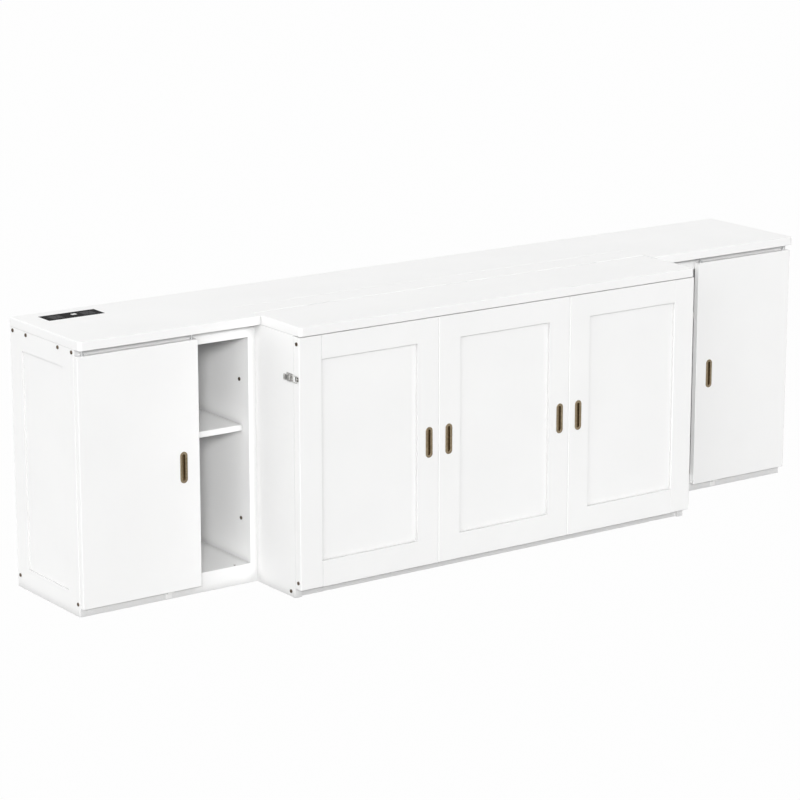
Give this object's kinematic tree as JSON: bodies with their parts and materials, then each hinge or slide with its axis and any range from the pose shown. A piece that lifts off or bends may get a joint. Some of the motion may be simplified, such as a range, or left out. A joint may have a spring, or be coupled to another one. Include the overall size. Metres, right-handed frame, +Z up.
{
  "type": "wall bed with side cabinets",
  "caption": "White low wall bed: panelled front on rollers draws out and unfolds a slatted deck, with a lift-up lid and sliding-door bedside cabinets.",
  "frame": {"origin": "on the floor under the middle of the whole object", "axes": "+X along the wall to the right seen from the front, +Y to the wall at the back, +Z up"},
  "size_m": [2.9744, 0.675, 0.9],
  "materials": {
    "white_paint": "smooth white satin paint",
    "slat_wood": "bare planed pine",
    "antique_brass": "antique satin",
    "dark_bolts": "dark bronze",
    "hinge_steel": "zinc plated",
    "chrome": "bright chrome",
    "track_aluminium": "plain extruded",
    "black_plastic": "fine matte",
    "usb_plastic": "smooth white",
    "roller_plastic": "smooth dark grey"
  },
  "bodies": {
    "cabinet": {"back_sheets": "white_paint", "center_left_side": "white_paint", "center_right_side": "white_paint", "center_top_back": "white_paint", "door_guides": "usb_plastic", "door_tracks": "track_aluminium", "fixed_hinge_leaves": "hinge_steel", "joining_bolts": "dark_bolts", "latch_bases": "chrome", "left_cabinet_floor": "white_paint", "left_cabinet_rails": "white_paint", "left_cabinet_top": "white_paint", "left_end_panel": "white_paint", "left_inner_side": "white_paint", "left_shelf": "white_paint", "lid_hinge_board": "white_paint", "panel_bolts": "dark_bolts", "plinth": "white_paint", "power_housing": "black_plastic", "power_sockets": "black_plastic", "rear_deck_bearers": "slat_wood", "rear_deck_slats": "slat_wood", "right_cabinet_floor": "white_paint", "right_cabinet_rails": "white_paint", "right_cabinet_top": "white_paint", "right_end_panel": "white_paint", "right_inner_side": "white_paint", "right_shelf": "white_paint", "shelf_pins": "hinge_steel", "usb_module": "usb_plastic", "wall_rails": "white_paint"},
    "left_door": {"left_door": "white_paint", "left_door_pull": "antique_brass", "left_door_hangers": "hinge_steel"},
    "right_door": {"right_door": "white_paint", "right_door_pull": "antique_brass", "right_door_hangers": "hinge_steel"},
    "lid": {"lid": "white_paint", "lid_hinge_leaves": "hinge_steel"},
    "left_latch_lever": {"left_latch_lever": "chrome"},
    "right_latch_lever": {"right_latch_lever": "chrome"},
    "left_latch_bail": {"left_latch_bail": "chrome"},
    "right_latch_bail": {"right_latch_bail": "chrome"},
    "middle_deck": {"middle_deck_frame": "slat_wood", "middle_deck_slats": "slat_wood", "middle_deck_hinges": "hinge_steel"},
    "legs": {"support_legs": "slat_wood"},
    "front_deck": {"front_deck_frame": "slat_wood", "front_deck_slats": "slat_wood", "front_deck_hinges": "hinge_steel"},
    "footboard": {"front_frame": "white_paint", "front_panels": "white_paint", "front_pulls": "antique_brass", "front_edge_bolts": "dark_bolts", "front_hinge_leaves": "hinge_steel", "latch_strikes": "chrome", "roller_brackets": "hinge_steel", "roller_covers": "white_paint"},
    "left_roller": {"left_roller": "roller_plastic"},
    "right_roller": {"right_roller": "roller_plastic"}
  },
  "joints": [
    {"name": "left_door_slide", "type": "slide", "parent": "cabinet", "child": "left_door", "axis": [1, 0, 0], "range_m": [0, 0.225]},
    {"name": "right_door_slide", "type": "slide", "parent": "cabinet", "child": "right_door", "axis": [-1, 0, 0], "range_m": [0, 0.225]},
    {"name": "lid_lift", "type": "hinge", "parent": "cabinet", "child": "lid", "pos_m": [0, -0.059, 0.898], "axis": [-1, 0, 0], "range_deg": [0, 100]},
    {"name": "left_latch_swing", "type": "hinge", "parent": "cabinet", "child": "left_latch_lever", "pos_m": [-0.826, -0.2865, 0.731], "axis": [0, 0, 1], "range_deg": [0, 165]},
    {"name": "right_latch_swing", "type": "hinge", "parent": "cabinet", "child": "right_latch_lever", "pos_m": [0.826, -0.2865, 0.731], "axis": [0, 0, -1], "range_deg": [0, 165]},
    {"name": "left_bail_swing", "type": "hinge", "parent": "left_latch_lever", "child": "left_latch_bail", "pos_m": [-0.8256, -0.2735, 0.731], "axis": [0, 0, 1], "range_deg": [-165, 0]},
    {"name": "right_bail_swing", "type": "hinge", "parent": "right_latch_lever", "child": "right_latch_bail", "pos_m": [0.8256, -0.2735, 0.731], "axis": [0, 0, -1], "range_deg": [-165, 0]},
    {"name": "bed_unfold", "type": "hinge", "parent": "cabinet", "child": "middle_deck", "pos_m": [0, -0.2065, 0.11], "axis": [1, 0, 0], "range_deg": [0, 90]},
    {"name": "deck_fold", "type": "hinge", "parent": "middle_deck", "child": "front_deck", "pos_m": [0, -0.2515, 0.86], "axis": [1, 0, 0], "range_deg": [-180, 0]},
    {"name": "footboard_level", "type": "hinge", "parent": "front_deck", "child": "footboard", "pos_m": [0, -0.2965, 0.11], "axis": [1, 0, 0], "range_deg": [0, 90]},
    {"name": "leg_swing", "type": "hinge", "parent": "middle_deck", "child": "legs", "pos_m": [0, -0.2355, 0.8], "axis": [1, 0, 0], "range_deg": [-90, 0]},
    {"name": "left_roller_spin", "type": "hinge", "parent": "footboard", "child": "left_roller", "pos_m": [-0.69, -0.2715, 0.014], "axis": [1, 0, 0], "continuous": true},
    {"name": "right_roller_spin", "type": "hinge", "parent": "footboard", "child": "right_roller", "pos_m": [0.69, -0.2715, 0.014], "axis": [1, 0, 0], "continuous": true}
  ],
  "couplings": [
    {"joint": "left_bail_swing", "follows": "left_latch_swing", "ratio": -1},
    {"joint": "right_bail_swing", "follows": "right_latch_swing", "ratio": -1},
    {"joint": "deck_fold", "follows": "bed_unfold", "ratio": -2},
    {"joint": "footboard_level", "follows": "bed_unfold", "ratio": 1},
    {"joint": "leg_swing", "follows": "bed_unfold", "ratio": -1}
  ]
}
